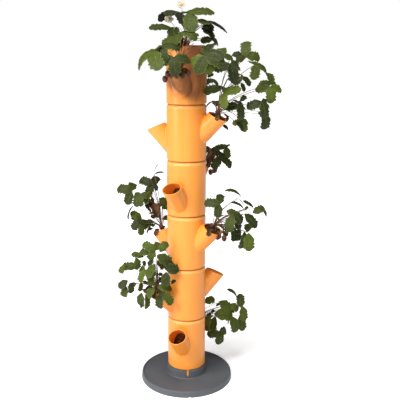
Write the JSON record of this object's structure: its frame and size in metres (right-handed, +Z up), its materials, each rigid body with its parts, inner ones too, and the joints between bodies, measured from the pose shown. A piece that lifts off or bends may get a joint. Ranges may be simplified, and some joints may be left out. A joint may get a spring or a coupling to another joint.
{
  "type": "vertical planter tower",
  "caption": "Vertical planter tower of stacked turning tiers with slanted spouts on a round foot, filled with soil and strawberry plants.",
  "frame": {"origin": "on the floor under the middle of the column, at the centre of the foot's hub", "axes": "+Z up along the column; -Y is the front of the tower as pictured; +X to its right"},
  "size_m": [0.6142, 0.4745, 1.4175],
  "materials": {
    "orange_plastic": "satin",
    "dark_plastic": "matte",
    "soil": "matte",
    "leaves": "matte",
    "berries": "gloss",
    "flowers": "matte"
  },
  "bodies": {
    "foot": {"foot": "dark_plastic", "tier_1_shell": "orange_plastic", "tier_1_soil": "soil", "tier_1_lower_roots": "soil", "tier_1_lower_plant": "leaves"},
    "tier_2": {"tier_2_shell": "orange_plastic", "tier_2_soil": "soil", "tier_2_lower_roots": "soil", "tier_2_lower_plant": "leaves"},
    "tier_3": {"tier_3_shell": "orange_plastic", "tier_3_soil": "soil", "tier_3_upper_roots": "soil", "tier_3_upper_plant": "leaves", "tier_3_lower_roots": "soil", "tier_3_lower_plant": "leaves", "tier_3_upper_berries": "berries"},
    "tier_4": {"tier_4_shell": "orange_plastic", "tier_4_soil": "soil", "tier_4_upper_roots": "soil", "tier_4_upper_plant": "leaves", "tier_4_upper_berries": "berries"},
    "tier_5": {"tier_5_shell": "orange_plastic", "tier_5_soil": "soil", "tier_5_upper_roots": "soil", "tier_5_upper_plant": "leaves"},
    "tier_6": {"tier_6_shell": "orange_plastic", "tier_6_soil": "soil", "tier_6_top_plant": "leaves", "tier_6_lower_roots": "soil", "tier_6_lower_plant": "leaves", "tier_6_upper_roots": "soil", "tier_6_upper_plant": "leaves", "tier_6_lower_berries": "berries", "tier_6_top_flowers": "flowers"}
  },
  "joints": [
    {"name": "tier_2_swivel", "type": "hinge", "parent": "foot", "child": "tier_2", "pos_m": [0, 0, 0.259], "axis": [0, 0, 1], "continuous": true, "deforming": ["tier_1_lower_plant", "tier_2_lower_plant"]},
    {"name": "tier_3_swivel", "type": "hinge", "parent": "tier_2", "child": "tier_3", "pos_m": [0, 0, 0.463], "axis": [0, 0, 1], "continuous": true, "deforming": ["tier_3_upper_plant", "tier_3_lower_plant", "tier_3_upper_berries"]},
    {"name": "tier_4_swivel", "type": "hinge", "parent": "tier_3", "child": "tier_4", "pos_m": [0, 0, 0.667], "axis": [0, 0, 1], "continuous": true, "deforming": ["tier_4_upper_plant", "tier_4_upper_berries"]},
    {"name": "tier_5_swivel", "type": "hinge", "parent": "tier_4", "child": "tier_5", "pos_m": [0, 0, 0.871], "axis": [0, 0, 1], "continuous": true, "deforming": ["tier_5_upper_plant"]},
    {"name": "tier_6_swivel", "type": "hinge", "parent": "tier_5", "child": "tier_6", "pos_m": [0, 0, 1.075], "axis": [0, 0, 1], "continuous": true, "deforming": ["tier_6_top_plant", "tier_6_lower_plant", "tier_6_upper_plant", "tier_6_lower_berries", "tier_6_top_flowers"]}
  ]
}
